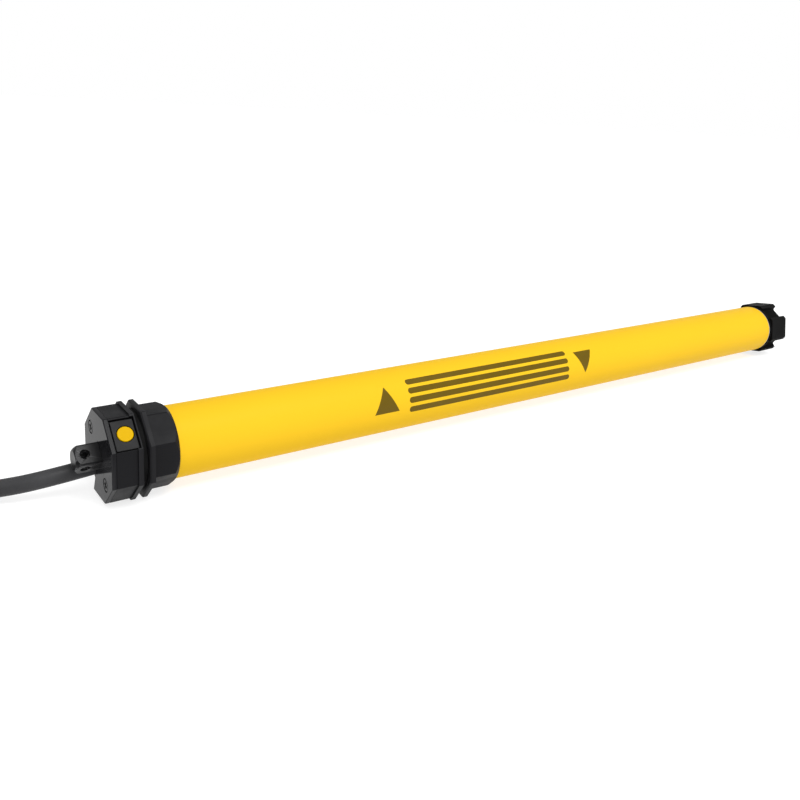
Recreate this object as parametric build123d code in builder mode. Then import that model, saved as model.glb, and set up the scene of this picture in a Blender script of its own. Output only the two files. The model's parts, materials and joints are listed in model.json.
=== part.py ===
from build123d import *
import os
from math import acos, cos, hypot, pi, radians, sin, tan

os.makedirs("parts", exist_ok=True)

# A roller shutter motor: a slim tube motor that lies inside an octagonal winding shaft.
# Stations are distances in mm along the motor's axis from the front of the face cover
# (station 0) towards the drive end. Angles round the axis start at the top (+Z) and
# grow towards the front (-Y).

# ---- driving dimensions, mm --------------------------------------------------------
pin_tip = -11.0            # station of the square pin's free end
rear_face = 540.0          # station of the drive adapter's rear face
tube_d = 35.0
tube_wall = 1.2
tube_start = 26.3
tube_end = 517.6
cover_thickness = 2.2
head_flats = 40.6          # across flats, face cover and head
collar_flats = 42.3        # across flats, head collar and crown collar
sleeve_flats = 36.9        # across flats, crown sleeve, slides in a 40 mm octagonal shaft
collar_start = 11.6
head_end = 14.0
crown_start = 16.8
crown_collar_end = 19.2
crown_end = 31.8
pin_width = 10.0
pin_hole_d = 4.5
pin_hole_station = -6.6
screw_circle_r = 14.5
button_d = 7.2
button_gap = 0.35          # ring between button and panel
button_station = 8.1
button_travel = 0.8
adapter_start = 518.8
adapter_flats = 36.8       # across flats, fits inside the octagonal shaft
adapter_turn = -9.0        # degrees the drive end happens to stand at
cable_d = 8.0
cable_offset = 12.0        # cable axis from the motor axis
cable_angle = 225.0        # towards the back and down

# ---- worked out --------------------------------------------------------------------
tube_r = tube_d / 2
bore_r = tube_r - tube_wall
insert_r = bore_r - 0.05               # pieces pushed into the tube
axis_z = collar_flats / 2              # the motor stands on its collars
middle = (pin_tip + rear_face) / 2     # station of the row's origin


def section(station):
    """Plane across the motor at a station: local x is +Y, local y is +Z."""
    return Plane(origin=(station - middle, 0, axis_z), x_dir=(0, 1, 0), z_dir=(1, 0, 0))


def local_angle(angle):
    """Angle in a section's own x, y for an angle round the motor."""
    return 90 + angle


def polar(radius, angle):
    """Point in a section at a radius and an angle round the motor."""
    return (radius * cos(radians(local_angle(angle))), radius * sin(radians(local_angle(angle))))


def side_plane(station, angle, radius):
    """Plane facing outwards at an angle round the motor: local x is +X, local y is along the facet."""
    y, z = polar(radius, angle)
    return Plane(origin=(station - middle, y, axis_z + z), x_dir=(1, 0, 0), z_dir=(0, y, z))


def bar(start, end, radius, mode=Mode.ADD, centre=(0, 0)):
    """Round bar or hole between two stations."""
    with BuildSketch(section(start)) as profile:
        with Locations(centre):
            Circle(radius)
    extrude(profile.sketch, amount=end - start, mode=mode)


def tube(start, end, outer, inner):
    """Round tube between two stations."""
    with BuildSketch(section(start)) as profile:
        Circle(outer)
        Circle(inner, mode=Mode.SUBTRACT)
    extrude(profile.sketch, amount=end - start)


def octagon(start, end, flats, mode=Mode.ADD, corner=0.8, turn=0.0):
    """Octagonal block between two stations, with slightly rounded corners."""
    with BuildSketch(section(start)) as profile:
        RegularPolygon(flats / 2, 8, major_radius=False, rotation=22.5 + turn)
        fillet(profile.vertices(), corner)
    extrude(profile.sketch, amount=end - start, mode=mode)


def block(start, end, width, height, centre=(0, 0), turn=0.0, mode=Mode.ADD):
    """Rectangular block between two stations."""
    with BuildSketch(section(start)) as profile:
        with Locations(centre):
            Rectangle(width, height, rotation=turn)
    extrude(profile.sketch, amount=end - start, mode=mode)


def wedge(start, end, inner, outer, margin, mode=Mode.ADD):
    """Wedge whose flanks run along radii of the motor, on the cable's side."""
    half = tan(radians(22.5))
    with BuildSketch(section(start)) as profile:
        with BuildLine():
            Polyline(
                (-inner * half + margin, inner), (-outer * half + margin, outer),
                (outer * half - margin, outer), (inner * half - margin, inner), close=True,
            )
        make_face()
    turned = profile.sketch.rotate(Axis((0, 0, axis_z), (1, 0, 0)), cable_angle)
    extrude(turned, amount=end - start, mode=mode)


def finish(piece, name):
    """Label a piece and write its file."""
    piece.part.label = name
    export_step(piece.part, f"parts/{name}.step")


# ---- gears: involute teeth in short flat facets --------------------------------------
pressure_angle = radians(20)
addendum = 0.8             # of the module, a short tooth
dedendum = 1.1             # of the module
flank_steps = 3


def involute(angle):
    return tan(angle) - angle


def toothed(teeth, module, tip, root, play, turn):
    """Closed outline of a toothed wheel, one tooth centred on the local angle turn."""
    pitch_r = module * teeth / 2
    base_r = pitch_r * cos(pressure_angle)
    half_tooth = pi / (2 * teeth) - play / (2 * pitch_r) + involute(pressure_angle)
    low = max(root, base_r)
    flank = [low + (tip - low) * step / flank_steps for step in range(flank_steps + 1)]
    if root < base_r:
        flank.insert(0, root)
    offsets = [(r, half_tooth - involute(acos(min(1, base_r / r)))) for r in flank]
    points = []
    for tooth in range(teeth):
        middle_angle = radians(turn) + 2 * pi * tooth / teeth
        points += [(r * cos(middle_angle - a), r * sin(middle_angle - a)) for r, a in offsets]
        points += [(r * cos(middle_angle + a), r * sin(middle_angle + a)) for r, a in reversed(offsets)]
    return points


def gear(start, end, teeth, module, play, turn, centre=(0, 0)):
    """Outside gear between two stations."""
    pitch_r = module * teeth / 2
    outline = toothed(teeth, module, pitch_r + addendum * module, pitch_r - dedendum * module, play, turn)
    with BuildSketch(section(start)) as profile:
        with BuildLine():
            Polyline(*[(x + centre[0], y + centre[1]) for x, y in outline], close=True)
        make_face()
    extrude(profile.sketch, amount=end - start)


def inner_teeth(start, end, teeth, module, play, turn):
    """Cut an inside gear: one gap centred on the local angle turn."""
    pitch_r = module * teeth / 2
    outline = toothed(teeth, module, pitch_r + dedendum * module, pitch_r - addendum * module, -play, turn)
    with BuildSketch(section(start)) as profile:
        with BuildLine():
            Polyline(*outline, close=True)
        make_face()
    extrude(profile.sketch, amount=end - start, mode=Mode.SUBTRACT)


# ---- head: cover, housing, pin, button, cable plug ------------------------------------
housing_start = cover_thickness
flange_depth = 4.0
flange_size = (22.0, 13.2)             # long side towards the screws
panel_depth = 1.6
panel_front = 2.4
panel_rear = 12.9
screw_angles = (135.0, 315.0)
neck_end = 26.0
pin_play = 0.3                         # over the pin's width, in the cover
screw_r = 1.5
screw_head_r = 2.9
screw_head_depth = 1.3
clip_groove_start = 24.8
clip_groove_r = 16.85
cavity_r = 12.5
pinion_teeth = 12
crown_teeth = 60
encoder_module = 0.6
pinion_offset = encoder_module * (crown_teeth - pinion_teeth) / 2
pinion_start = 17.6
pinion_end = 19.0

with BuildPart() as face_cover:
    octagon(0, cover_thickness, head_flats)
    chamfer(face_cover.faces().sort_by(Axis.X)[0].edges(), 0.35)
    chamfer(face_cover.faces().sort_by(Axis.X)[-1].edges(), 0.2)
    block(-1, cover_thickness + 1, pin_width + pin_play, pin_width + pin_play, turn=45, mode=Mode.SUBTRACT)
    wedge(-1, cover_thickness + 1, 7.0, 24.0, 0.0, mode=Mode.SUBTRACT)
    for angle in screw_angles:
        seat = polar(screw_circle_r, angle)
        bar(-1, cover_thickness + 1, screw_r + 0.1, Mode.SUBTRACT, seat)
        bar(-1, screw_head_depth, screw_head_r + 0.4, Mode.SUBTRACT, seat)
finish(face_cover, "face_cover")

with BuildPart() as head_housing:
    octagon(housing_start, collar_start, head_flats)
    chamfer(head_housing.faces().sort_by(Axis.X)[0].edges(), 0.2)
    octagon(collar_start, head_end, collar_flats)
    chamfer(head_housing.faces().sort_by(Axis.X)[-1].edges(), 0.3)
    bar(head_end, neck_end, tube_r)
    bar(neck_end, 40, insert_r)
    bar(16, 41, cavity_r, Mode.SUBTRACT)
    # pocket for the pin's flange, clamped under the cover
    block(0, housing_start + flange_depth, flange_size[0] + 0.2, flange_size[1] + 0.2,
          turn=local_angle(135), mode=Mode.SUBTRACT)
    # cable's side: wedge pocket for the plug, then a hole into the cavity
    wedge(0, 11, 7.4, 24.0, 0.3, mode=Mode.SUBTRACT)
    bar(10, 17, cable_d / 2, Mode.SUBTRACT, polar(cable_offset - 1.4, cable_angle))
    # button's side: panel pocket, spring seat, stem hole and switch cavity
    with BuildSketch(side_plane((panel_front + panel_rear) / 2, 45, head_flats / 2 - panel_depth)):
        with Locations((0, -0.3)):
            Rectangle(panel_rear - panel_front + 0.5, 15.8)
    extrude(amount=6, mode=Mode.SUBTRACT)
    with BuildSketch(side_plane(button_station, 45, 15.2)):
        Circle(button_d / 2 + button_gap + 0.2)
    extrude(amount=6, mode=Mode.SUBTRACT)
    with BuildSketch(side_plane(button_station, 45, 10)):
        Circle(2.2)
    extrude(amount=8, mode=Mode.SUBTRACT)
    with BuildSketch(side_plane(10.3, 45, 8.2)):
        Rectangle(12.6, 9)
    extrude(amount=6.2, mode=Mode.SUBTRACT)
    for angle in screw_angles:
        bar(0, 12, screw_r, Mode.SUBTRACT, polar(screw_circle_r, angle))
    # window and seats for the encoder pinion, which meshes with the crown's inside teeth
    bar(pinion_start - 0.3, pinion_end + 0.3, 4.5, Mode.SUBTRACT, (0, pinion_offset))
    bar(pinion_start - 2.4, pinion_end + 2.4, 0.85, Mode.SUBTRACT, (0, pinion_offset))
    # groove for the crown's clip
    with BuildSketch(section(clip_groove_start)):
        Circle(tube_r + 1)
        Circle(clip_groove_r, mode=Mode.SUBTRACT)
    extrude(amount=1.0, mode=Mode.SUBTRACT)
finish(head_housing, "head_housing")

with BuildPart() as square_pin:
    with BuildSketch(section(pin_tip)) as pin_profile:
        Rectangle(pin_width, pin_width, rotation=45)
        fillet(pin_profile.vertices(), 0.8)
    extrude(amount=housing_start - pin_tip + 0.05)
    with BuildSketch(Plane.XZ) as tip_profile:
        with BuildLine():
            Polyline(
                (pin_tip - middle, axis_z), (pin_tip - middle, axis_z + 4.6),
                (pin_tip - middle + 2.2, axis_z + 7.2), (20 - middle, axis_z + 7.2),
                (20 - middle, axis_z), close=True,
            )
        make_face()
    revolve(axis=Axis((0, 0, axis_z), (1, 0, 0)), mode=Mode.INTERSECT)
    for angle in (45, 135):
        with BuildSketch(side_plane(pin_hole_station, angle, 8)):
            Circle(pin_hole_d / 2)
        extrude(amount=-16, mode=Mode.SUBTRACT)
    block(housing_start + 0.05, housing_start + flange_depth, *flange_size, turn=local_angle(135))
finish(square_pin, "square_pin")

with BuildPart() as face_screws:
    for angle in screw_angles:
        bar(0.05, screw_head_depth, screw_head_r, centre=polar(screw_circle_r, angle))
    chamfer(face_screws.faces().filter_by(Axis.X).group_by(Axis.X)[0].edges(), 0.25)
    for angle in screw_angles:
        bar(screw_head_depth, 11.5, screw_r, centre=polar(screw_circle_r, angle))
        block(-1, 0.9, 3.6, 0.8, polar(screw_circle_r, angle), 20, Mode.SUBTRACT)
        block(-1, 0.9, 0.8, 3.6, polar(screw_circle_r, angle), 20, Mode.SUBTRACT)
finish(face_screws, "face_screws")

panel_floor = side_plane((panel_front + panel_rear) / 2, 45, head_flats / 2 - panel_depth)
with BuildPart() as button_panel:
    with BuildSketch(panel_floor) as panel_profile:
        with Locations((0, -0.45)):
            Rectangle(panel_rear - panel_front - 0.5, 14.4)
        fillet(panel_profile.vertices(), 0.5)
    extrude(amount=panel_depth - 0.1)
    chamfer(button_panel.faces().sort_by(Axis((0, 0, 0), (0, -1, 1)))[-1].edges(), 0.15)
    with BuildSketch(side_plane(button_station, 45, 15)):
        Circle(button_d / 2 + button_gap)
    extrude(amount=8, mode=Mode.SUBTRACT)
finish(button_panel, "button_panel")

button_top = head_flats / 2 + 0.1
button_base = 18.0                     # radius of the disc's underside
spring_foot = 15.25                    # radius of the spring's lower end
with BuildPart() as setting_button:
    with BuildSketch(side_plane(button_station, 45, button_base)):
        Circle(button_d / 2)
    extrude(amount=button_top - button_base)
    chamfer(setting_button.faces().sort_by(Axis((0, 0, 0), (0, -1, 1)))[-1].edges(), 0.25)
    with BuildSketch(side_plane(button_station, 45, spring_foot - 0.1)):
        Circle(1.8)
    extrude(amount=button_base - spring_foot + 0.1)
finish(setting_button, "setting_button")

spring_wire = 0.4
spring_seat = side_plane(button_station, 45, spring_foot + spring_wire / 2)
spring_path = spring_seat.location * Helix(pitch=0.8, height=2.7 - spring_wire, radius=2.8)
with BuildPart() as button_spring:
    with BuildSketch(Plane(origin=spring_path @ 0, z_dir=spring_path % 0)):
        Circle(spring_wire / 2)
    sweep(path=spring_path, is_frenet=True)
finish(button_spring, "button_spring")

with BuildPart() as button_switch:
    with BuildSketch(side_plane(button_station, 45, 8.25)):
        Rectangle(6.2, 6.2)
    extrude(amount=4.2)
    with BuildSketch(side_plane(button_station, 45, 12.45)):
        Circle(1.7)
    extrude(amount=1.5)
finish(button_switch, "button_switch")

plug_face = 1.6
with BuildPart() as cable_plug:
    wedge(plug_face, cover_thickness, 7.3, 19.2, 0.5)
    wedge(cover_thickness, 10.9, 7.5, 19.6, 0.35)
    bar(0, 6, cable_d / 2, Mode.SUBTRACT, polar(cable_offset, cable_angle))
finish(cable_plug, "cable_plug")

# ---- crown: the ring that the winding shaft turns --------------------------------------
crown_bore_r = tube_r + 0.06
crown_taper_start = 29.2               # station where the corners start to be turned down
crown_end_r = 18.3
counterbore_start = 24.6
counterbore_r = 17.85
clip_start = clip_groove_start + 0.15

with BuildPart() as crown:
    octagon(crown_start, crown_collar_end, collar_flats, corner=0.9)
    chamfer(crown.faces().sort_by(Axis.X)[0].edges(), 0.5)
    octagon(crown_collar_end, crown_end, sleeve_flats, corner=1.0)
    # the sleeve's corners are turned down to a round end
    with BuildSketch(Plane.XZ) as turned_profile:
        with BuildLine():
            Polyline(
                (crown_start - middle, axis_z), (crown_start - middle, axis_z + 25),
                (crown_taper_start - middle, axis_z + 25), (crown_taper_start - middle, axis_z + 20.1),
                (crown_end - 0.25 - middle, axis_z + crown_end_r),
                (crown_end - middle, axis_z + crown_end_r - 0.25), (crown_end - middle, axis_z), close=True,
            )
        make_face()
    revolve(axis=Axis((0, 0, axis_z), (1, 0, 0)), mode=Mode.INTERSECT)
    bar(crown_start - 1, counterbore_start, crown_bore_r, Mode.SUBTRACT)
    bar(counterbore_start, crown_end + 1, counterbore_r, Mode.SUBTRACT)
    inner_teeth(pinion_start - 0.4, pinion_end + 0.4, crown_teeth, encoder_module, 0.06, 90)
finish(crown, "crown")

with BuildPart() as crown_spacer:
    tube(head_end + 0.05, crown_start - 0.3, 19.0, tube_r + 0.02)
finish(crown_spacer, "crown_spacer")

with BuildPart() as crown_clip:
    tube(clip_start, clip_start + 0.7, 17.6, clip_groove_r + 0.05)
    block(clip_start - 1, clip_start + 2, 3, 6, (0, -17), mode=Mode.SUBTRACT)
finish(crown_clip, "crown_clip")

with BuildPart() as encoder_pinion:
    gear(pinion_start, pinion_end, pinion_teeth, encoder_module, 0.06, 90, (0, pinion_offset))
    bar(pinion_start, pinion_end, 0.9, Mode.SUBTRACT, (0, pinion_offset))
finish(encoder_pinion, "encoder_pinion")

with BuildPart() as encoder_axle:
    bar(pinion_start - 2.3, pinion_end + 2.3, 0.85, centre=(0, pinion_offset))
finish(encoder_axle, "encoder_axle")

# ---- tube and control electronics -------------------------------------------------------
with BuildPart() as motor_tube:
    tube(tube_start, tube_end, tube_r, bore_r)
finish(motor_tube, "motor_tube")

board_level = -4.0
with BuildPart() as board_carrier:
    tube(44, 166, insert_r, 15.2)
    block(43, 167, 40, 40, (0, 20 + board_level), mode=Mode.SUBTRACT)
    for start in (44, 104, 164):
        with BuildSketch(section(start)) as rib:
            Circle(15.3)
            with Locations((0, 20 + board_level)):
                Rectangle(40, 40, mode=Mode.SUBTRACT)
            with Locations((0, -9.5)):
                Rectangle(9, 5, mode=Mode.SUBTRACT)
        extrude(rib.sketch, amount=2)
finish(board_carrier, "board_carrier")

board_top = board_level + 1.6
with BuildPart() as control_board:
    with BuildSketch(section(45)):
        with Locations((0, board_level + 0.8)):
            Rectangle(28, 1.6)
    extrude(amount=120)
finish(control_board, "control_board")

with BuildPart() as terminal_block:
    block(48, 57, 22, 9, (0, board_top + 4.5))
    for place in range(4):
        bar(47, 55, 1.5, Mode.SUBTRACT, (-7.5 + 5 * place, board_top + 3.5))
finish(terminal_block, "terminal_block")

with BuildPart() as board_components:
    for start, end, width, height, across in (
        (66, 81, 10, 11.5, -6), (66, 81, 10, 11.5, 6),       # two relays
        (90, 112, 19, 13, 0),                                # supply transformer
        (122, 128, 6, 7, -5), (122, 128, 6, 7, 5),           # suppressors
        (138, 150, 9, 2, 0),                                 # controller chip
    ):
        block(start, end, width, height, (across, board_top + height / 2))
finish(board_components, "board_components")

with BuildPart() as capacitor_holder:
    tube(172, 226, insert_r, 13.3)
    bar(172, 174, 14)
    for across in (-6, 6):
        bar(171, 175, 2.2, Mode.SUBTRACT, (across, 0))
finish(capacitor_holder, "capacitor_holder")

with BuildPart() as run_capacitor:
    bar(178, 225, 13.2)
    fillet(run_capacitor.edges().filter_by(GeomType.CIRCLE), 1.0)
    for across in (-4, 4):
        block(175, 178, 5, 0.8, (across, 0), 90)
finish(run_capacitor, "run_capacitor")

# ---- motor ---------------------------------------------------------------------------------
shaft_r = 2.5
bearing_r = 6.5
rotor_r = 8.7
slots = 12
stack_start, stack_end = 250.0, 350.0
front_bell = (233.0, 242.0)
rear_bell = (359.0, 368.0)
bearing_width = 4.6
shaft_play = 0.7                       # round the shaft where it passes through other pieces
vent_r = 2.0
vent_orbit = 12.0

with BuildPart() as front_end_bell:
    bar(*front_bell, insert_r)
    bar(front_bell[0] + 4, front_bell[1] + 1, bearing_r, Mode.SUBTRACT)
    with BuildSketch(section(front_bell[0] - 1)):
        with PolarLocations(vent_orbit, 4, start_angle=45):
            Circle(vent_r)
    extrude(amount=11, mode=Mode.SUBTRACT)
finish(front_end_bell, "front_end_bell")

with BuildPart() as rear_end_bell:
    bar(*rear_bell, insert_r)
    bar(rear_bell[0] - 1, rear_bell[1] - 4, bearing_r, Mode.SUBTRACT)
    bar(rear_bell[0] + 4, rear_bell[1] + 1, shaft_r + shaft_play, Mode.SUBTRACT)
    with BuildSketch(section(rear_bell[0] - 1)):
        with PolarLocations(vent_orbit, 4, start_angle=45):
            Circle(vent_r)
    extrude(amount=11, mode=Mode.SUBTRACT)
finish(rear_end_bell, "rear_end_bell")

with BuildPart() as motor_bearings:
    for start in (front_bell[0] + 4.1, rear_bell[0] + 0.2):
        tube(start, start + bearing_width, bearing_r, shaft_r + 0.05)
finish(motor_bearings, "motor_bearings")

with BuildPart() as stator_core:
    tube(stack_start, stack_end, insert_r, rotor_r + 0.3)
    with BuildSketch(section(stack_start)):
        with PolarLocations(12, slots):
            Rectangle(3.6, 3.2)
        with PolarLocations(9.6, slots):
            Rectangle(2.4, 1.2)
    extrude(amount=stack_end - stack_start, mode=Mode.SUBTRACT)
finish(stator_core, "stator_core")

with BuildPart() as stator_windings:
    with BuildSketch(section(stack_start - 1)):
        with PolarLocations(12, slots):
            Rectangle(3.4, 3.0)
    extrude(amount=stack_end - stack_start + 2)
    tube(stack_start - 6.5, stack_start - 0.5, 14.6, 10.1)
    tube(stack_end + 0.5, stack_end + 6.5, 14.6, 10.1)
finish(stator_windings, "stator_windings")

with BuildPart() as rotor_core:
    tube(stack_start - 3, stack_end + 3, rotor_r, shaft_r)
finish(rotor_core, "rotor_core")

# ---- gearbox: three planetary stages ----------------------------------------------------------
gear_module = 0.5625
sun_teeth = 12
planet_teeth = 18
ring_teeth = sun_teeth + 2 * planet_teeth
gear_play = 0.07
planet_orbit = gear_module * (sun_teeth + planet_teeth) / 2
planet_angles = (0, 120, 240)
planet_pin_r = 1.3
sun_turn = 15.0                        # half a tooth off the planets' directions
stages = ((409.0, 417.0), (425.0, 435.0), (444.0, 458.0))
carrier_ends = (422.0, 441.0, 467.0)
ring_start = 406.0
ring_end = 470.0
carrier_r = 11.5
output_r = 6.5
shaft_flats = 8.0
shaft_end = 535.0

with BuildPart() as rotor_shaft:
    bar(front_bell[0] + 4.5, stages[0][0], shaft_r)
    gear(stages[0][0], stages[0][1] + 0.4, sun_teeth, gear_module, gear_play, sun_turn)
finish(rotor_shaft, "rotor_shaft")

with BuildPart() as ring_gear:
    bar(ring_start, ring_end, insert_r)
    inner_teeth(ring_start - 1, ring_end + 1, ring_teeth, gear_module, gear_play, 0)
finish(ring_gear, "ring_gear")


def carrier_disc(stage):
    """A planet carrier: disc and three pins."""
    start, end = stages[stage]
    bar(end + 1, carrier_ends[stage], carrier_r)
    for angle in planet_angles:
        bar(start - 0.4, end + 1, planet_pin_r, centre=polar(planet_orbit, angle))


for stage in (0, 1):
    with BuildPart() as carrier:
        carrier_disc(stage)
        bar(carrier_ends[stage], stages[stage + 1][0], 2.6)
        gear(*stages[stage + 1], sun_teeth, gear_module, gear_play, sun_turn)
    finish(carrier, f"stage{stage + 1}_carrier")

with BuildPart() as output_shaft:
    carrier_disc(2)
    bar(carrier_ends[2], adapter_start - 0.3, output_r)
    with BuildSketch(section(adapter_start - 0.3)):
        Circle(5)
        Rectangle(12, shaft_flats, mode=Mode.INTERSECT)
    extrude(amount=shaft_end - adapter_start + 0.3)
    bar(524, shaft_end + 1, 2.0, Mode.SUBTRACT)
finish(output_shaft, "output_shaft")

for stage, (start, end) in enumerate(stages):
    for number, angle in enumerate(planet_angles):
        with BuildPart() as planet:
            centre = polar(planet_orbit, angle)
            gear(start, end, planet_teeth, gear_module, gear_play, local_angle(angle), centre)
            bar(start, end, planet_pin_r + 0.05, Mode.SUBTRACT, centre)
        finish(planet, f"stage{stage + 1}_planet_{number + 1}")

# ---- brake between motor and gearbox -------------------------------------------------------------
guide_orbit = 14.6
guide_angles = (60, 180, 300)

with BuildPart() as brake_housing:
    bar(372, 388, insert_r)
    bar(371, 389, shaft_r + shaft_play, Mode.SUBTRACT)
    with BuildSketch(section(378)):
        Circle(13.2)
        Circle(7.2, mode=Mode.SUBTRACT)
    extrude(amount=11, mode=Mode.SUBTRACT)
    with BuildSketch(section(381)):
        Circle(6.2)
        Circle(3.7, mode=Mode.SUBTRACT)
    extrude(amount=8, mode=Mode.SUBTRACT)
finish(brake_housing, "brake_housing")

with BuildPart() as brake_coil:
    tube(378, 387.4, 13.1, 7.3)
finish(brake_coil, "brake_coil")

with BuildPart() as brake_plate:
    tube(395.2, 398.2, insert_r, shaft_r + shaft_play)
    for angle in guide_angles:
        bar(388, 395.2, 1.0, centre=polar(guide_orbit, angle))
finish(brake_plate, "brake_plate")

with BuildPart() as brake_armature:
    tube(389.1, 391.6, 15.9, shaft_r + shaft_play)
    for angle in guide_angles:
        bar(389, 392, 1.35, Mode.SUBTRACT, polar(guide_orbit, angle))
finish(brake_armature, "brake_armature")

brake_wire = 0.8
brake_seat = section(381.05 + brake_wire / 2)
brake_path = brake_seat.location * Helix(pitch=1.8, height=7.95 - brake_wire, radius=4.95)
with BuildPart() as brake_spring:
    with BuildSketch(Plane(origin=brake_path @ 0, z_dir=brake_path % 0)):
        Circle(brake_wire / 2)
    sweep(path=brake_path, is_frenet=True)
finish(brake_spring, "brake_spring")

with BuildPart() as brake_disc:
    tube(391.9, 394.9, 13.0, shaft_r)
finish(brake_disc, "brake_disc")

# ---- gearbox ends and drive adapter ----------------------------------------------------------------
bushing_r = 8.5
with BuildPart() as gearbox_plate:
    tube(402, ring_start, insert_r, shaft_r + shaft_play)
finish(gearbox_plate, "gearbox_plate")

with BuildPart() as end_flange:
    bar(ring_end + 1, tube_end, insert_r)
    bar(tube_end, tube_end + 0.6, tube_r - 0.1)
    bar(ring_end, tube_end + 1, bushing_r, Mode.SUBTRACT)
finish(end_flange, "end_flange")

with BuildPart() as output_bearing:
    tube(476, 514, bushing_r, output_r + 0.05)
finish(output_bearing, "output_bearing")

notch_root = 15.2
with BuildPart() as drive_adapter:
    octagon(adapter_start + 1.6, rear_face, adapter_flats, corner=1.2, turn=adapter_turn)
    with BuildSketch(section(adapter_start + 1.6)) as notches:
        for angle in (45, 135, 225, 315):
            with BuildLine():
                Polyline(
                    polar(hypot(notch_root, 4.2), angle + adapter_turn - 15.4),
                    polar(24, angle + adapter_turn - 14.6), polar(24, angle + adapter_turn + 14.6),
                    polar(hypot(notch_root, 4.2), angle + adapter_turn + 15.4), close=True,
                )
            make_face()
        fillet(notches.vertices().filter_by(lambda v: hypot(v.X, v.Y) < 17), 1.2)
    extrude(amount=rear_face - adapter_start, mode=Mode.SUBTRACT)
    chamfer(drive_adapter.faces().sort_by(Axis.X)[-1].edges(), 0.5)
    bar(adapter_start, adapter_start + 1.6, 17.9)
    # hollow behind the web, with ribs between hub and rim
    with BuildSketch(section(adapter_start + 6)):
        Circle(13.2)
        Circle(8.6, mode=Mode.SUBTRACT)
        for angle in (0, 45, 90, 135):
            Rectangle(30, 2, rotation=local_angle(angle + adapter_turn), mode=Mode.SUBTRACT)
    extrude(amount=rear_face, mode=Mode.SUBTRACT)
    bar(shaft_end, rear_face + 1, 8.6, Mode.SUBTRACT)
    with BuildSketch(section(adapter_start - 1)):
        Circle(5)
        Rectangle(12, shaft_flats, mode=Mode.INTERSECT)
    extrude(amount=30, mode=Mode.SUBTRACT)
finish(drive_adapter, "drive_adapter")

with BuildPart() as adapter_screw:
    tube(shaft_end, shaft_end + 1.2, 7.5, 2.0)
    bar(shaft_end + 1.2, shaft_end + 4, 4.2)
    bar(525, shaft_end + 1.2, 2.0)
    with BuildSketch(section(shaft_end + 2)):
        RegularPolygon(2, 6)
    extrude(amount=3, mode=Mode.SUBTRACT)
finish(adapter_screw, "adapter_screw")

# ---- cable: straight out of the plug, down to the ground and into a tied hank --------------------
cable_r = cable_d / 2
lane = 8.3                              # spacing of the hank's turns, side by side and in height
inner_bend = 24.0                       # bend radius of the inner turns
outer_bend = inner_bend + lane
hank_run = 110.0                        # length of the hank's straight sides
hank_right = -90.0                      # station of the bend's centre at the motor's end
hank_left = hank_right - hank_run
sheath_end = hank_left + 61.0           # station where the sheath stops, on top of the front side
level_3 = 2 * lane                      # underside of the third level of turns

exit_y, exit_z = polar(cable_offset, cable_angle)
route = [                               # station, y, height over the ground
    (plug_face, exit_y, axis_z + exit_z),
    (-14.9, 8.5, 11.2),
    (-33.5, 14.4, 7.6),
    (-52.0, 24.3, 4.7),
    (-70.5, outer_bend, cable_r),
    (hank_right, outer_bend, cable_r),
]
points = [Vector(station - middle, y, z) for station, y, z in route]
runs = [b - a for a, b in zip(points, points[1:])]
radii = []
for before, after in zip(runs, runs[1:]):
    turn = radians(before.get_angle(after))
    radii.append(0.45 * min(before.length, after.length) / tan(turn / 2))
print("cable radii", [round(r, 1) for r in radii])

with BuildPart() as power_cable:
    with BuildLine() as cable_path:
        FilletPolyline(*points, radius=radii)
    with BuildSketch(Plane(origin=cable_path.wire() @ 0, z_dir=cable_path.wire() % 0)):
        Circle(cable_r)
    sweep(path=cable_path.wire())
free_length = cable_path.wire().length
print("cable volume", power_cable.part.volume, "section x length", pi * cable_r ** 2 * free_length)
finish(power_cable, "power_cable")


def hank_plan(inner, outer, level):
    """Plan of the hank's turns between two distances from its centre line, at a level."""
    with BuildSketch(Plane.XY.offset(level)) as plan:
        with Locations(((hank_left + hank_right) / 2 - middle, 0)):
            SlotOverall(hank_run + 2 * outer, 2 * outer)
            SlotOverall(hank_run + 2 * inner, 2 * inner, mode=Mode.SUBTRACT)
    return plan.sketch


inside = inner_bend - cable_r
between = inner_bend + lane / 2
outside = outer_bend + cable_r
hank_height = level_3 + cable_d

with BuildPart() as cable_hank:
    extrude(hank_plan(inside, outside, 0), amount=level_3)
    extrude(hank_plan(between, outside, level_3), amount=cable_d)
    # the last turn crosses to the inner side and ends there
    with BuildSketch(Plane.XY.offset(level_3)):
        with Locations((sheath_end - middle, -between)):
            Rectangle(sheath_end - hank_left, between - inside, align=(Align.MAX, Align.MIN))
    extrude(amount=cable_d)
    # room for the incoming stretch of cable beside the first bend
    with BuildSketch(Plane.XY):
        with Locations((hank_right - middle, outside + 1)):
            Rectangle(40, cable_d + 3, align=(Align.MIN, Align.MAX))
    extrude(amount=cable_d + 1, mode=Mode.SUBTRACT)
finish(cable_hank, "cable_hank")

tie_station = hank_left + 49.0
tie_width = 6.0
tie_wall = 0.8
bundle_back = [
    (inside, 0), (outside, 0), (outside, hank_height), (between, hank_height), (inside, level_3),
]
bundle_front = [(-inside, 0), (-outside, 0), (-outside, hank_height), (-inside, hank_height)]

with BuildPart() as hank_ties:
    for bundle in (bundle_back, bundle_front):
        with BuildSketch(Plane(origin=(tie_station - middle, 0, 0), x_dir=(0, 1, 0), z_dir=(1, 0, 0))) as tie:
            with BuildLine():
                Polyline(*bundle, close=True)
            make_face()
            offset(amount=tie_wall, kind=Kind.ARC)
            with BuildLine():
                Polyline(*[(y, max(z, tie_wall)) for y, z in bundle], close=True)
            make_face(mode=Mode.SUBTRACT)
            Rectangle(100, 10, align=(Align.CENTER, Align.MAX), mode=Mode.SUBTRACT)
        extrude(tie.sketch, amount=tie_width)
finish(hank_ties, "hank_ties")

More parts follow.
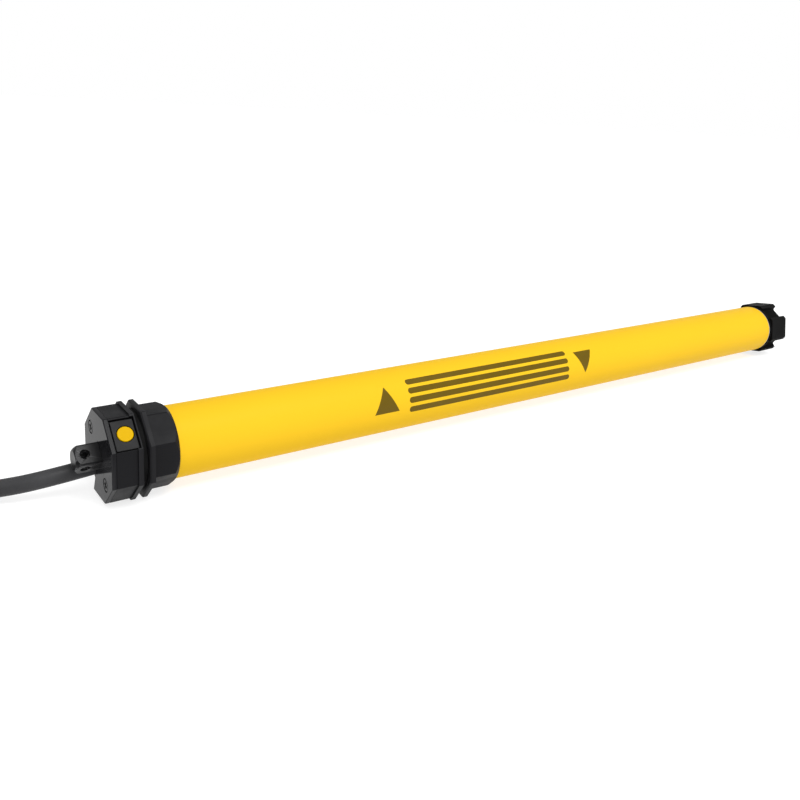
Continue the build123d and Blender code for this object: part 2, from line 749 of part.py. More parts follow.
# bared cores: they leave the sheath side by side and fan out a little
core_r = 1.15
core_spread = 1.25
core_end = sheath_end + 40.0
ferrule_r = 0.8
ferrule_length = 9.0
core_level = level_3 + cable_r
core_ends = {                           # side and level in the sheath, then y and height of the end
    "core_brown": (-1, -1, -inner_bend - 2.0, level_3 + core_r + 0.1),
    "core_blue": (1, -1, -inner_bend + 2.4, level_3 + core_r + 0.1),
    "core_black": (-1, 1, -inner_bend - 1.2, level_3 + core_r + 2.6),
    "core_earth": (1, 1, -inner_bend + 1.4, level_3 + core_r + 2.6),
}

for name, (side, level, end_y, end_z) in core_ends.items():
    start = Vector(sheath_end - middle, side * core_spread - inner_bend, core_level + level * core_spread)
    bend = start + Vector(9, 0, 0)
    settle = Vector(core_end - 14 - middle, end_y, end_z)
    end = Vector(core_end - middle, end_y, end_z)
    with BuildPart() as core:
        with BuildLine() as core_path:
            FilletPolyline(start, bend, settle, end, radius=12)
        with BuildSketch(Plane(origin=start, z_dir=(1, 0, 0))):
            Circle(core_r)
        sweep(path=core_path.wire())
    finish(core, name)

with BuildPart() as core_ferrules:
    for side, level, end_y, end_z in core_ends.values():
        with BuildSketch(Plane(origin=(core_end - middle, end_y, end_z), z_dir=(1, 0, 0))) as ferrule:
            Circle(ferrule_r)
        extrude(ferrule.sketch, amount=ferrule_length)
finish(core_ferrules, "core_ferrules")

turn_lengths = [2 * hank_run + 2 * pi * bend for bend in (outer_bend, inner_bend, inner_bend, outer_bend)]
last_turn = hank_run + pi * outer_bend + sheath_end - hank_left
print("cable sheath length", round(free_length + sum(turn_lengths) + last_turn, 1))
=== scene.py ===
import json
from math import cos, hypot, pi, radians, sin

import bmesh
import bpy
from mathutils import Matrix, Vector


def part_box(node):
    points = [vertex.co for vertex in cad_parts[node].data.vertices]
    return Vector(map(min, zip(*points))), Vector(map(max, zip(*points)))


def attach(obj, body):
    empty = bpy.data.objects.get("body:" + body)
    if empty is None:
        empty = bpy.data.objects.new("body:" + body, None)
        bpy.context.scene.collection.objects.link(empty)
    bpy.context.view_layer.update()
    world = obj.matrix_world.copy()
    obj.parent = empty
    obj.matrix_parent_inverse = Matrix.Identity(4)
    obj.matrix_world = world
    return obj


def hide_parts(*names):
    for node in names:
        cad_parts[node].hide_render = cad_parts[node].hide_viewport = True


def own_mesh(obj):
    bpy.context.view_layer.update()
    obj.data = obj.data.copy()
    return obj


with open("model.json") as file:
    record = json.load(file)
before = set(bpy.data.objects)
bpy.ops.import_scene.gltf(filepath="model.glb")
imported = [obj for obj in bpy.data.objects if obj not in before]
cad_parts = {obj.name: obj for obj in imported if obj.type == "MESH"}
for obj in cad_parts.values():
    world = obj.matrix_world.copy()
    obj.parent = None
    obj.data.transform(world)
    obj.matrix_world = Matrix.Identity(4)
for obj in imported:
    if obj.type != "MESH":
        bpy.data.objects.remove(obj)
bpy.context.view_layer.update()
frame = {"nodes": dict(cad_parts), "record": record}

MM = 0.001
record = frame["record"]
node_slot = {part["node"]: part["material_slot"] for part in record["subparts"]}
node_body = {name: body for body, names in record["behaviour"]["bodies"].items() for name in names}

# ---- places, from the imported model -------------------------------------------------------
tube_low, tube_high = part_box("motor_tube")
tube_r = max(tube_high.z - tube_low.z, tube_high.y - tube_low.y) / 2
axis_z = (tube_high.z + tube_low.z) / 2
face_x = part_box("face_cover")[0].x          # x of station 0, the cover's front


def at(station, radius, angle):
    """Point at a station in mm, a radius in mm and an angle round the motor, 0 at the top and 90 in front."""
    turn = radians(angle)
    return Vector((face_x + station * MM, -radius * MM * sin(turn), axis_z + radius * MM * cos(turn)))


# ---- camera ------------------------------------------------------------------------------
camera_data = bpy.data.cameras.new("camera")
camera_data.lens = 37.52
camera_data.sensor_width = 36.0
camera_data.shift_x = 0.0056
camera_data.shift_y = -0.1166
camera_data.clip_start = 0.01
camera_data.clip_end = 60
camera = bpy.data.objects.new("camera", camera_data)
right = Vector((0.81282552, -0.57978524, 0.05624726))
up = Vector((0.09642478, 0.22915004, 0.96860339))
forward = Vector((0.57447101, 0.78188192, -0.24216466))
eye = Vector((-0.365285, -0.357701, 0.185387))
camera.matrix_world = Matrix.Translation(eye) @ Matrix((right, up, -forward)).transposed().to_4x4()
bpy.context.scene.collection.objects.link(camera)
bpy.context.scene.camera = camera


# ---- materials ---------------------------------------------------------------------------
def surface(name, color, rough, metallic=0.0, grain=2500.0, depth=0.00001, blotch=45.0, tint=0.08,
            rough_spread=0.06, edge_wear_and_highlight=0.0, edge_wear_and_highlight_color=None, stretch=(1, 1, 1), fine=0.0, gloss=0.5):
    """Material with a grain in its bump, blotches in colour and roughness, and edges made lighter, partly as
    wear and partly as a painted highlight.

    grain and blotch are the noises' scales, depth and fine are bump heights in metres.
    """
    made = bpy.data.materials.new(name)
    made.use_nodes = True
    nodes, links = made.node_tree.nodes, made.node_tree.links
    shader = nodes["Principled BSDF"]
    shader.inputs["Metallic"].default_value = metallic
    shader.inputs["Specular IOR Level"].default_value = gloss

    place = nodes.new("ShaderNodeTexCoord")
    mapping = nodes.new("ShaderNodeMapping")
    mapping.inputs["Scale"].default_value = stretch
    links.new(place.outputs["Object"], mapping.inputs["Vector"])

    def noise(scale, detail, vector):
        made_noise = nodes.new("ShaderNodeTexNoise")
        made_noise.inputs["Scale"].default_value = scale
        made_noise.inputs["Detail"].default_value = detail
        links.new(vector, made_noise.inputs["Vector"])
        return made_noise.outputs["Fac"]

    def remap(value, low, high, new_low, new_high):
        made_map = nodes.new("ShaderNodeMapRange")
        for key, number in (("From Min", low), ("From Max", high), ("To Min", new_low), ("To Max", new_high)):
            made_map.inputs[key].default_value = number
        links.new(value, made_map.inputs["Value"])
        return made_map.outputs["Result"]

    def mix(factor, first, second):
        made_mix = nodes.new("ShaderNodeMix")
        made_mix.data_type = "RGBA"
        links.new(factor, made_mix.inputs[0])
        for socket, value in ((made_mix.inputs[6], first), (made_mix.inputs[7], second)):
            if isinstance(value, bpy.types.NodeSocket):
                links.new(value, socket)
            else:
                socket.default_value = (*value, 1)
        return made_mix.outputs[2]

    blotches = noise(blotch, 4, place.outputs["Object"])
    darker = [c * (1 - tint) for c in color]
    lighter = [min(1, c * (1 + tint)) for c in color]
    tone = mix(remap(blotches, 0.3, 0.7, 0, 1), darker, lighter)
    rough_value = remap(noise(blotch * 2.6, 3, place.outputs["Object"]), 0.3, 0.7,
                        rough - rough_spread, rough + rough_spread)
    # painted highlight and wear: edges picked out by pointiness are mixed towards a lighter colour, standing in
    # partly for rubbed edges and partly for the thin light lines that light draws along edges
    if edge_wear_and_highlight:
        geometry = nodes.new("ShaderNodeNewGeometry")
        edge = remap(geometry.outputs["Pointiness"], 0.51, 0.60, 0, edge_wear_and_highlight)
        tone = mix(edge, tone, edge_wear_and_highlight_color or [min(1, c * 2.2 + 0.02) for c in color])
    links.new(tone, shader.inputs["Base Color"])
    links.new(rough_value, shader.inputs["Roughness"])

    bump = nodes.new("ShaderNodeBump")
    bump.inputs["Strength"].default_value = 1.0
    bump.inputs["Distance"].default_value = depth
    links.new(noise(grain, 2, mapping.outputs["Vector"]), bump.inputs["Height"])
    if fine:
        second = nodes.new("ShaderNodeBump")
        second.inputs["Strength"].default_value = 1.0
        second.inputs["Distance"].default_value = fine
        links.new(noise(grain / 7, 2, mapping.outputs["Vector"]), second.inputs["Height"])
        links.new(second.outputs["Normal"], bump.inputs["Normal"])
    links.new(bump.outputs["Normal"], shader.inputs["Normal"])
    return made


# the edge lightening set on these materials is partly wear and partly a painted highlight along the edges
materials = {
    "tube_yellow": surface("tube_yellow", (0.67, 0.408, 0.016), 0.42, grain=1500, depth=0.000005, blotch=14,
                           tint=0.012, rough_spread=0.03, fine=0.000008, gloss=0.015),
    "black_plastic": surface("black_plastic", (0.0065, 0.0065, 0.0075), 0.46, grain=5200, depth=0.00001,
                             edge_wear_and_highlight=0.5, gloss=0.08),
    "face_plastic": surface("face_plastic", (0.007, 0.007, 0.008), 0.10, grain=4200, depth=0.000001, edge_wear_and_highlight=0.5,
                            rough_spread=0.03, gloss=0.045),
    "pin_steel": surface("pin_steel", (0.006, 0.006, 0.0065), 0.30, grain=2600, depth=0.00001, edge_wear_and_highlight=0.5,
                         edge_wear_and_highlight_color=(0.12, 0.12, 0.125), rough_spread=0.07, gloss=0.1),
    # screws near black with little gloss: painted shade for their dark recesses
    "screw_steel": surface("screw_steel", (0.006, 0.006, 0.0065), 0.3, grain=3200, depth=0.00001, edge_wear_and_highlight=0.7,
                           edge_wear_and_highlight_color=(0.12, 0.12, 0.125), gloss=0.05),
    "button_yellow": surface("button_yellow", (0.53, 0.315, 0.001), 0.42, grain=3000, depth=0.000004, tint=0.02,
                             gloss=0.03),
    "panel_plastic": surface("panel_plastic", (0.0085, 0.0085, 0.009), 0.44, grain=5200, depth=0.00001, edge_wear_and_highlight=0.4,
                             gloss=0.1),
    "spring_steel": surface("spring_steel", (0.55, 0.55, 0.57), 0.3, metallic=1, grain=2400, stretch=(4, 1, 1)),
    "cable_sheath": surface("cable_sheath", (0.037, 0.037, 0.039), 0.48, grain=2600, depth=0.000016, blotch=70,
                            tint=0.14, fine=0.00002, gloss=0.15),
    "tie_fabric": surface("tie_fabric", (0.016, 0.016, 0.018), 0.85, grain=3600, depth=0.00009, tint=0.3),
    "core_brown": surface("core_brown", (0.12, 0.045, 0.018), 0.4, tint=0.1),
    "core_blue": surface("core_blue", (0.012, 0.1, 0.42), 0.4, tint=0.08),
    "core_black": surface("core_black", (0.014, 0.014, 0.015), 0.4, tint=0.1),
    "core_earth": surface("core_earth", (0.03, 0.3, 0.05), 0.4, tint=0.08),
    "tinned": surface("tinned", (0.5, 0.5, 0.51), 0.32, metallic=1, grain=3200, depth=0.00002),
    "board_green": surface("board_green", (0.015, 0.12, 0.05), 0.35, grain=900, depth=0.00002, tint=0.2),
    "component": surface("component", (0.03, 0.03, 0.034), 0.5, tint=0.2),
    "terminal_green": surface("terminal_green", (0.06, 0.28, 0.1), 0.45),
    "carrier_grey": surface("carrier_grey", (0.2, 0.2, 0.21), 0.5, depth=0.00002),
    "capacitor_can": surface("capacitor_can", (0.68, 0.68, 0.7), 0.32, metallic=1, stretch=(0.1, 3, 3)),
    "die_cast": surface("die_cast", (0.5, 0.5, 0.52), 0.5, metallic=0.9, grain=1200, depth=0.00005, tint=0.12),
    "lamination": surface("lamination", (0.18, 0.18, 0.2), 0.45, metallic=0.8, grain=900, depth=0.00006,
                          stretch=(6, 0.1, 0.1), tint=0.15),
    "copper": surface("copper", (0.5, 0.17, 0.06), 0.35, metallic=0.9, grain=1600, depth=0.0001, tint=0.2),
    "shaft_steel": surface("shaft_steel", (0.5, 0.5, 0.52), 0.26, metallic=1, stretch=(5, 0.4, 0.4)),
    "gear_steel": surface("gear_steel", (0.34, 0.34, 0.36), 0.42, metallic=0.95, grain=2000, depth=0.00002),
    "gear_plastic": surface("gear_plastic", (0.78, 0.78, 0.72), 0.4),
    "bronze": surface("bronze", (0.45, 0.27, 0.09), 0.4, metallic=0.95, grain=2600, depth=0.00003, tint=0.15),
    "brake_lining": surface("brake_lining", (0.08, 0.065, 0.055), 0.8, grain=1800, depth=0.00008, tint=0.3),
}
# very dark black with almost no gloss: on the crown spacer it is painted shade for the gap between head and
# crown; the drive adapter uses it too
deep_black_and_gap_shade = surface("deep_black_and_gap_shade", (0.0045, 0.0045, 0.0045), 0.5, grain=4200, edge_wear_and_highlight=0.4, gloss=0.012)
print_ink = surface("print_ink", (0.105, 0.066, 0.002), 0.45, grain=3500, depth=0.000004, blotch=90, tint=0.05,
                    gloss=0.12)
core_stripe = surface("core_stripe", (0.85, 0.6, 0.02), 0.4, tint=0.06)

for name, shown in frame["nodes"].items():
    for holder in shown.material_slots:
        holder.material = materials[node_slot[name]]


# ---- mesh helpers ------------------------------------------------------------------------
def add_piece(name, mesh, slots, body, replaced=(), smooth_angle=32):
    """Put a mesh into the scene as a piece that rides on a body."""
    made = bpy.data.objects.new(name, mesh)
    bpy.context.scene.collection.objects.link(made)
    for used in slots:
        mesh.materials.append(used)
    mesh.shade_smooth()
    mesh.set_sharp_from_angle(angle=radians(smooth_angle))
    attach(made, body)
    if replaced:
        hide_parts(*replaced)
    return made


def add_form(name, form, slots, body, replaced=(), smooth_angle=32):
    """Turn a closed form's normals outward and make it a piece."""
    bmesh.ops.recalc_face_normals(form, faces=form.faces)
    mesh = bpy.data.meshes.new(name)
    form.to_mesh(mesh)
    form.free()
    return add_piece(name, mesh, slots, body, replaced, smooth_angle)


def bridge(form, ring, following):
    """Faces between two closed rings with the same number of points."""
    count = len(ring)
    return [form.faces.new((ring[k], ring[(k + 1) % count], following[(k + 1) % count], following[k]))
            for k in range(count)]


merge_distance = 0.000002            # m
flat_within = radians(0.3)           # faces that meet at less are one face
round_over = radians(26)             # edges that turn by more are rounded


def refine(name, width, inside, used=None):
    """Copy of a CAD node with its edges beyond a radius rounded by a width, both in mm, in place of the node."""
    mesh = frame["nodes"][name].data.copy()
    if "custom_normal" in mesh.attributes:
        mesh.attributes.remove(mesh.attributes["custom_normal"])
    form = bmesh.new()
    form.from_mesh(mesh)
    bmesh.ops.remove_doubles(form, verts=form.verts, dist=merge_distance)
    if name != "face_cover":        # its holes lie in one big flat face, which stays in triangles
        bmesh.ops.dissolve_limit(form, angle_limit=flat_within, verts=form.verts, edges=form.edges)
    edges = [e for e in form.edges if len(e.link_faces) == 2 and e.calc_face_angle_signed(0) > round_over
             and from_axis((e.verts[0].co + e.verts[1].co) / 2) >= inside]
    bmesh.ops.bevel(form, geom=edges, offset=width * MM, offset_type="OFFSET", segments=2, profile=0.5,
                    affect="EDGES", clamp_overlap=True)
    bmesh.ops.triangulate(form, faces=[f for f in form.faces if len(f.verts) > 4])
    form.to_mesh(mesh)
    form.free()
    mesh.materials.clear()
    made = add_piece(name + "_finished", mesh, [used or materials[node_slot[name]]], node_body[name], (name,))
    # normals that keep the big faces flat beside their rounded edges
    modifier = made.modifiers.new("normals", "WEIGHTED_NORMAL")
    modifier.keep_sharp = True
    modifier.weight = 80


def from_axis(point):
    """Distance from the motor's axis in mm."""
    return hypot(point.y, point.z - axis_z) / MM


# ---- cable: route to the hank, then its turns, as (station, y, z) in mm -------------------------
cable_d = 8.0
lane = 8.3                          # from one turn to the next, beside it or on it
inner_bend = 24.0
outer_bend = inner_bend + lane
ground = cable_d / 2
hank_right = -90.0                  # centres of the hank's bends
hank_left = -200.0
sheath_end = hank_left + 61.0
band_start = hank_left + 49.0
band_width = 6.0
band_lift = 0.9                     # the strap's thickness under the lowest turns
band_reach = 8.0                    # the turns ride up this far beside a band

route = [
    (1.6, 8.485, 12.665),
    (-14.9, 8.5, 11.2),
    (-33.5, 14.4, 7.6),
    (-52.0, 24.3, 4.7),
    (-70.5, outer_bend, ground),
    (hank_right, outer_bend, ground),
]
bend_step = 30                      # degrees between the points of a bend


def bend(centre, start_angle, first, last, low, high):
    """Points round half a bend, from one radius and height to another."""
    found = []
    count = 180 // bend_step
    for k in range(count):
        share = (k + 0.5) / count
        turn = radians(start_angle + 180 * share)
        radius = (first + (last - first) * share) / cos(radians(bend_step / 2))
        found.append((centre - radius * sin(turn), radius * cos(turn), low + (high - low) * share))
    return found


def level(number):
    """Height of the middle of a layer of turns, counted from 1 on the floor."""
    return ground + (number - 1) * lane


def lifted(station, number):
    """Height of a layer at a station: the turns ride up a little over the bands' undersides."""
    near = band_start - band_reach < station < band_start + band_width + band_reach
    return level(number) + (band_lift if near else 0)


# each turn: radius and layer along the back, radius and layer of the next turn, and between which
# distances from hank_left it changes over on the front side
turns = [
    (outer_bend, 1, inner_bend, 1, None),
    (inner_bend, 1, inner_bend, 2, (64, 100)),
    (inner_bend, 2, outer_bend, 2, (26, 60)),
    (outer_bend, 2, outer_bend, 3, (2, 30)),
]
cable_points = list(route)
back_stations = (88, 52, 22)        # from hank_left
for number, (radius, height, next_radius, next_height, change) in enumerate(turns):
    shift = 0.6 * (number % 3)      # the bends don't lie exactly over each other
    for along in back_stations:
        cable_points.append((hank_left + along, radius, lifted(hank_left + along, height)))
    cable_points += bend(hank_left + shift, 0, radius, radius, level(height), level(height))
    if change:
        start, end = hank_left + change[0], hank_left + change[1]
        if start > hank_left + 22:
            cable_points.append((start - 20, -radius, lifted(start - 20, height)))
        cable_points.append((start, -radius, lifted(start, height)))
        cable_points.append((end, -next_radius, lifted(end, next_height)))
        if end < hank_right - 30:
            cable_points.append((end + 26, -next_radius, level(next_height)))
        cable_points += bend(hank_right - shift, 180, next_radius, next_radius, level(next_height),
                             level(next_height))
    else:
        for along in (22, 52, 84):
            cable_points.append((hank_left + along, -radius, lifted(hank_left + along, height)))
        cable_points += bend(hank_right, 180, radius - 1.5, next_radius, level(height), level(height))
last_height = level(3)
for along in back_stations:
    cable_points.append((hank_left + along, outer_bend, lifted(hank_left + along, 3)))
cable_points += bend(hank_left, 0, outer_bend, inner_bend, last_height, last_height)
cable_points += [(hank_left + 20, -inner_bend, last_height), (band_start, -inner_bend, last_height + band_lift),
                 (sheath_end - 5, -inner_bend, last_height), (sheath_end, -inner_bend, last_height)]

cable_data = bpy.data.curves.new("supply_cable", "CURVE")
cable_data.dimensions = "3D"
cable_data.bevel_depth = cable_d / 2 * MM
cable_data.bevel_resolution = 6
cable_data.use_fill_caps = True
cable_data.resolution_u = 12
cable_data.materials.append(materials["cable_sheath"])
spline = cable_data.splines.new("NURBS")
spline.points.add(len(cable_points) - 1)
for target, (station, y, z) in zip(spline.points, cable_points):
    target.co = (face_x + station * MM, y * MM, z * MM, 1)
spline.order_u = 3
spline.use_endpoint_u = True
cable = bpy.data.objects.new("supply_cable", cable_data)
bpy.context.scene.collection.objects.link(cable)
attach(cable, "root")
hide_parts("power_cable", "cable_hank")


# ---- hank bands: hook-and-loop straps round each side of the hank -------------------------------
strap = 0.75                        # thickness in mm
strap_gap = 0.12                    # between the strap and the turns it holds
strap_steps = 150                   # points round a strap
tail_steps = 16                     # points of the loose end, each way from its middle
tail_strap = 0.6                    # thickness of the loose end
back_cords = [(outer_bend, 1), (inner_bend, 1), (inner_bend, 2), (outer_bend, 2), (outer_bend, 3)]
front_cords = [(-outer_bend, 1), (-inner_bend, 1), (-inner_bend, 2), (-outer_bend, 2), (-outer_bend, 3),
               (-inner_bend, 3)]


def hull(points):
    """Convex outline round points, in order."""
    points = sorted(points)
    outline = []
    for run in (points, points[::-1]):
        part = []
        for point in run:
            while len(part) > 1:
                (ax, ay), (bx, by) = part[-2:]
                if (bx - ax) * (point[1] - ay) - (by - ay) * (point[0] - ax) > 1e-9:     # a left turn
                    break
                part.pop()
            part.append(point)
        outline += part[:-1]
    return outline


def strap_outline(cords, gap):
    """Outline of a strap drawn round turns of cable, given as (y, layer), at a distance from them."""
    spots = []
    around = 40
    reach = ground + gap
    for y, number in cords:
        for k in range(around):
            turn = 2 * pi * k / around
            spots.append((y + reach * cos(turn), level(number) + band_lift + reach * sin(turn)))
    return hull(spots)


def spread(outline, count):
    """Points at even distances along a closed outline."""
    closed = outline + outline[:1]
    lengths = [hypot(b[0] - a[0], b[1] - a[1]) for a, b in zip(closed, closed[1:])]
    total = sum(lengths)
    found = []
    for k in range(count):
        rest = total * k / count
        for a, b, length in zip(closed, closed[1:], lengths):
            if rest <= length:
                found.append((a[0] + (b[0] - a[0]) * rest / length, a[1] + (b[1] - a[1]) * rest / length))
                break
            rest -= length
    return found


def add_strap(form, outline, start, width, thickness, closed=True):
    """Woven strap along an outline of (y, z), with rounded edges and a slight ripple."""
    count = len(outline)
    # share of the width and of the thickness, from edge to edge
    across = [(0.0, 0.35), (0.12, 0.9), (0.3, 1.0), (0.5, 1.0), (0.7, 1.0), (0.88, 0.9), (1.0, 0.35)]
    lowest = 0.02                   # mm above the floor
    rings = []
    for k, (y, z) in enumerate(outline):
        before = outline[(k - 1) % count] if closed or k else outline[k]
        after = outline[(k + 1) % count] if closed or k < count - 1 else outline[k]
        ty, tz = after[0] - before[0], after[1] - before[1]
        size = hypot(ty, tz) or 1
        ny, nz = tz / size, -ty / size
        ripple = 0.12 * sin(k * 0.9) * sin(k * 0.23 + 1)
        ring = []
        for share, full in across:
            ring.append((start + ripple + width * share, y + ny * thickness * full, z + nz * thickness * full))
        for share, full in across[::-1]:
            ring.append((start + ripple + width * share, y, z))
        rings.append([form.verts.new((face_x + s * MM, y2 * MM, max(z2, lowest) * MM)) for s, y2, z2 in ring])
    for ring, following in zip(rings, rings[1:] + rings[:1] if closed else rings[1:]):
        bridge(form, ring, following)
    if not closed:
        form.faces.new(rings[0])
        form.faces.new(rings[-1][::-1])


form = bmesh.new()
for cords, turned in ((back_cords, 1), (front_cords, -1)):
    loop = spread(strap_outline(cords, strap_gap), strap_steps)
    add_strap(form, loop, band_start, band_width, strap)
    # the strap's free end lies over it on the outer side and top
    over = spread(strap_outline(cords, strap_gap + strap + 0.05), strap_steps)
    outward = 0.4 * turned
    top = max(range(strap_steps), key=lambda k: over[k][1] + outward * over[k][0])
    tail = [over[(top + k) % strap_steps] for k in range(-tail_steps, tail_steps + 1)]
    add_strap(form, tail, band_start + 0.25, band_width - 0.5, tail_strap, closed=False)
add_form("hank_bands", form, [materials["tie_fabric"]], "root", ("hank_ties",), 50)

# ---- bared cores and their ferrules -----------------------------------------------------------
core_r = 1.15
core_spacing = 1.25                 # of the cores from the cable's middle, each way
core_end = sheath_end + 40.0
ferrule_end = core_end + 9.0
core_rest = 2 * lane + core_r + 0.1          # height of the lower cores on the second layer
core_ends = {                       # side, row, and y and z at the far end
    "brown": (-1, -1, -inner_bend - 2.0, core_rest), "blue": (1, -1, -inner_bend + 2.4, core_rest),
    "black": (-1, 1, -inner_bend - 1.2, core_rest + 2.5), "earth": (1, 1, -inner_bend + 1.4, core_rest + 2.5),
}


def round_sweep(form, rings_at, segments=18, striped=False):
    """Round body along X through (station, y, z, radius), closed at both ends."""
    rings = []
    for number, (station, y, z, radius) in enumerate(rings_at):
        twist = 0.05 * number if striped else 0
        rings.append([
            form.verts.new((face_x + station * MM, (y + radius * cos(2 * pi * k / segments + twist)) * MM,
                            (z + radius * sin(2 * pi * k / segments + twist)) * MM)) for k in range(segments)])
    for ring, following in zip(rings, rings[1:]):
        for k, face in enumerate(bridge(form, ring, following)):
            if striped and k % 9 < 3:
                face.material_index = 1
    form.faces.new(rings[0][::-1])
    form.faces.new(rings[-1])


core_steps = 48
core_inset = 0.6                    # how far the cores start inside the sheath
for colour, (side, rise, end_y, end_z) in core_ends.items():
    start_y, start_z = side * core_spacing - inner_bend, last_height + rise * core_spacing
    rings = []
    for k in range(core_steps + 1):
        station = sheath_end - core_inset + (core_end - sheath_end + core_inset) * k / core_steps
        share = min(1, max(0, (station - sheath_end - 5) / (core_end - sheath_end - 13)))
        ease = share * share * (3 - 2 * share)
        rings.append((station, start_y + (end_y - start_y) * ease, start_z + (end_z - start_z) * ease,
                      core_r if 0 < k < core_steps else core_r - 0.12))
    form = bmesh.new()
    round_sweep(form, rings, striped=colour == "earth")
    add_form("wire_" + colour, form, [materials["core_" + colour], core_stripe], "root", ("core_" + colour,),
             45)

form = bmesh.new()
crimp_steps, crimp_pitch = 29, 5.8           # rings along a ferrule, and rings from crimp to crimp
for side, rise, end_y, end_z in core_ends.values():
    rings = [(core_end - 0.8, end_y, end_z, 1.22), (core_end + 0.2, end_y, end_z, 1.3),
             (core_end + 0.5, end_y, end_z, 1.28), (core_end + 1.4, end_y, end_z, 0.84)]
    for k in range(crimp_steps + 1):
        station = core_end + 1.6 + (ferrule_end - core_end - 2.0) * k / crimp_steps
        rings.append((station, end_y, end_z, 0.8 - 0.09 * max(0, sin(2 * pi * k / crimp_pitch)) ** 2))
    rings += [(ferrule_end - 0.15, end_y, end_z, 0.74), (ferrule_end, end_y, end_z, 0.6)]
    round_sweep(form, rings, 16)
add_form("wire_ferrules", form, [materials["tinned"]], "root", ("core_ferrules",), 35)

# ---- tube ----------------------------------------------------------------------------------
tube_start = (tube_low.x - face_x) / MM
tube_end = (tube_high.x - face_x) / MM
outer = tube_r / MM
wall = 1.2
roll = 0.35                         # radius of the rounded edges at the tube's ends
roll_steps = 5
tube_segments = 256
profile = []                        # closed, of (station, radius)
for end, side in ((tube_start, 1), (tube_end, -1)):
    arc = []
    for k in range(roll_steps + 1):
        turn = radians(90 * k / roll_steps)
        arc.append((end + side * roll * (1 - sin(turn)), outer - roll * (1 - cos(turn))))
    row = [(end + side * roll, outer - wall), (end, outer - wall + roll)] + arc[::-1]
    profile += row if side > 0 else row[::-1]
form = bmesh.new()
rings = [[form.verts.new(at(station, radius, 360 * k / tube_segments)) for k in range(tube_segments)]
         for station, radius in profile]
for ring, following in zip(rings, rings[1:] + rings[:1]):
    bridge(form, ring, following)
add_form("yellow_tube", form, [materials["tube_yellow"]], "root", ("motor_tube",), 40)

# ---- print on the tube: shutter slats between an up and a down triangle, no lettering -----------
ink_under = outer - 0.05
ink_over = outer + 0.012
slats = (12.7, 17.9, 23.1, 28.3)             # middles, in mm round the tube from its top line
slat_height = 3.3
slat_steps = 6                               # round the tube
slat_end_steps = 8                           # along each rounded end
slats_start, slats_end = 163.0, 289.0
triangle_size = 16.0
triangle_gap = 7.0
triangle_steps = 24


def print_patch(form, grid):
    """Thin closed patch of ink through a grid of (station, mm round the tube) points."""
    top, under = [[[form.verts.new(at(station, radius, around / outer * 180 / pi)) for station, around in row]
                   for row in grid] for radius in (ink_over, ink_under)]
    count = len(grid)
    steps = len(grid[0]) - 1
    for i in range(count - 1):
        for k in range(steps):
            form.faces.new((top[i][k], top[i + 1][k], top[i + 1][k + 1], top[i][k + 1]))
            form.faces.new((under[i][k], under[i][k + 1], under[i + 1][k + 1], under[i + 1][k]))
    rim = [(0, k) for k in range(steps)] + [(i, steps) for i in range(count - 1)]
    rim += [(count - 1, k) for k in range(steps, 0, -1)] + [(i, 0) for i in range(count - 1, 0, -1)]
    for (i, k), (j, m) in zip(rim, rim[1:] + rim[:1]):
        form.faces.new((top[i][k], top[j][m], under[j][m], under[i][k]))


form = bmesh.new()
for row in slats:
    columns = []
    half = slat_height / 2
    for centre, side in ((slats_start + half, -1), (slats_end - half, 1)):
        arc = []
        for k in range(1, slat_end_steps + 1):
            turn = radians(90 * k / slat_end_steps)
            arc.append((centre + side * half * cos(turn), row - half * sin(turn), row + half * sin(turn)))
        first = [(centre + side * half, row - 0.12, row + 0.12)]
        columns += first + arc if side < 0 else (first + arc)[::-1]
    print_patch(form, [[(station, low + (high - low) * k / slat_steps) for k in range(slat_steps + 1)]
                       for station, low, high in columns])
middle_row = (slats[0] + slats[-1]) / 2
for start, pointing in ((slats_start - triangle_gap - triangle_size, -1), (slats_end + triangle_gap, 1)):
    rows = []
    for k in range(triangle_steps + 1):      # each row is along the tube, so the patch keeps to its curve
        half = triangle_size / 2 * (1 - k / triangle_steps) + 0.08
        around = middle_row + pointing * triangle_size * 0.9 * (k / triangle_steps - 0.5)
        rows.append([(start + triangle_size / 2 + side * half, around) for side in (-1, 1)])
    print_patch(form, rows)
add_form("tube_print", form, [print_ink], "root", smooth_angle=50)

# ---- refined pieces: width of the rounding, and the radius inside which edges stay sharp ---------
refine("face_cover", 0.11, 0)
refine("head_housing", 0.22, 15.5)
refine("square_pin", 0.16, 0)
refine("button_panel", 0.14, 0)
refine("setting_button", 0.14, 0)
refine("cable_plug", 0.2, 0)
# the spacer's darker black is painted shade in the gap between head and crown
refine("crown_spacer", 0.2, 17.8, deep_black_and_gap_shade)
refine("crown", 0.22, 18.2)
refine("drive_adapter", 0.25, 5.5, deep_black_and_gap_shade)
refine("adapter_screw", 0.12, 0)
refine("face_screws", 0.08, 0)

# ---- springs: own copies of the CAD springs, in their place -------------------------------------
button_angle = 45                   # degrees from the top to the panel's middle
button_axis = (0, -sin(radians(button_angle)), cos(radians(button_angle)))
# foot is the fixed end, and keep is the share of its length that a spring has left at the limit
for name, joint, axis, foot, keep in (
    ("button_spring", "button_press", button_axis, at(8.1, 15.25, button_angle), 0.69),
    ("brake_spring", "brake_release", (1, 0, 0), at(381.05, 0, 0), 0.91),
):
    spring = add_piece(name + "_coil", frame["nodes"][name].data.copy(), [], node_body[name], (name,))
    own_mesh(spring)

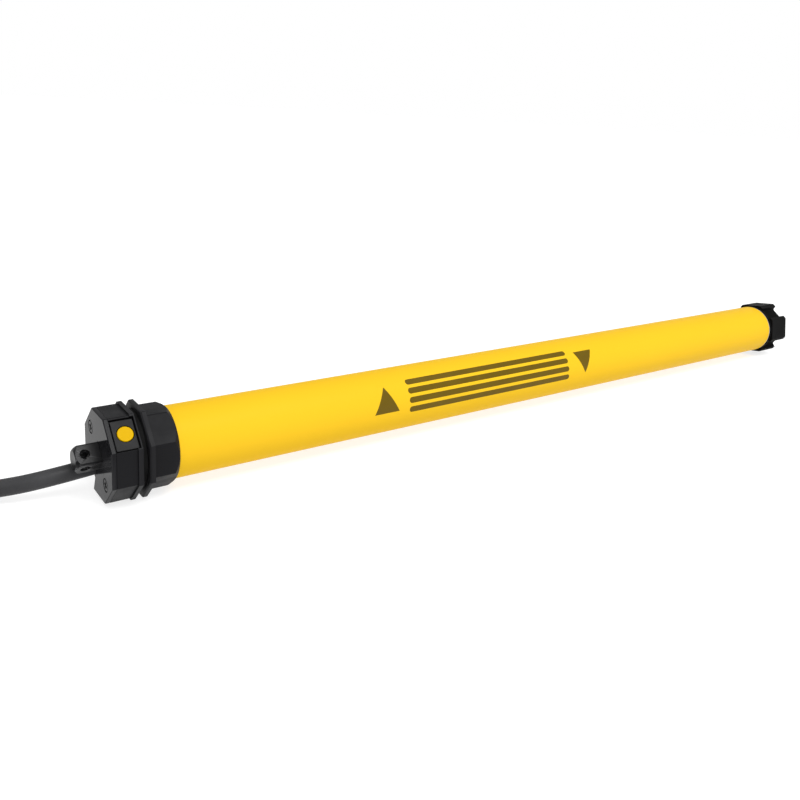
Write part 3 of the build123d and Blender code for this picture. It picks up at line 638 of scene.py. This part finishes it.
# ---- floor, light, background -----------------------------------------------------------------
floor_z = -0.0003                   # just under the object, whose lowest faces are at 0
bpy.ops.mesh.primitive_circle_add(vertices=96, radius=9, fill_type="NGON", location=(0, 0, floor_z))
floor = bpy.context.object
floor.name = "floor"
floor_paint = surface("floor_paint", (0.35, 0.35, 0.35), 0.7, grain=60, depth=0.00002, blotch=3, tint=0.006,
                      gloss=0.2)
floor_shader = floor_paint.node_tree.nodes["Principled BSDF"]
floor_shader.inputs["Emission Color"].default_value = (1, 1, 1, 1)
floor_shader.inputs["Emission Strength"].default_value = 0.76
floor.data.materials.append(floor_paint)

world = bpy.data.worlds.new("studio")
bpy.context.scene.world = world
world.use_nodes = True
sky_nodes, sky_links = world.node_tree.nodes, world.node_tree.links
background = sky_nodes["Background"]
background.inputs["Color"].default_value = (1, 1, 1, 1)
direction = sky_nodes.new("ShaderNodeTexCoord")
parts = sky_nodes.new("ShaderNodeSeparateXYZ")
fall = sky_nodes.new("ShaderNodeMapRange")              # white at eye level, darker overhead
fall.interpolation_type = "SMOOTHSTEP"
for key, number in (("From Min", 0.17), ("From Max", 0.45), ("To Min", 1.0), ("To Max", 0.35)):
    fall.inputs[key].default_value = number
sky_links.new(direction.outputs["Generated"], parts.inputs["Vector"])
sky_links.new(parts.outputs["Z"], fall.inputs["Value"])
sky_links.new(fall.outputs["Result"], background.inputs["Strength"])


def softbox(name, place, size, size_y, power):
    """Area light that faces the origin."""
    data = bpy.data.lights.new(name, "AREA")
    data.shape = "RECTANGLE"
    data.size = size
    data.size_y = size_y
    data.energy = power
    light = bpy.data.objects.new(name, data)
    light.location = place
    light.rotation_euler = (-Vector(place)).to_track_quat("-Z", "Y").to_euler()
    bpy.context.scene.collection.objects.link(light)


softbox("key", (0.05, -0.85, 1.5), 0.9, 0.7, 24)
softbox("back", (-0.9, 1.1, 1.5), 1.2, 1.2, 5)
sun = bpy.data.lights.new("fill", "SUN")     # wide enough to leave no hard shadow
sun.energy = 1.1
sun.angle = radians(70)
fill = bpy.data.objects.new("fill", sun)
fill.rotation_euler = (radians(35), radians(-15), 0)
bpy.context.scene.collection.objects.link(fill)
bpy.context.scene.view_settings.view_transform = "Standard"
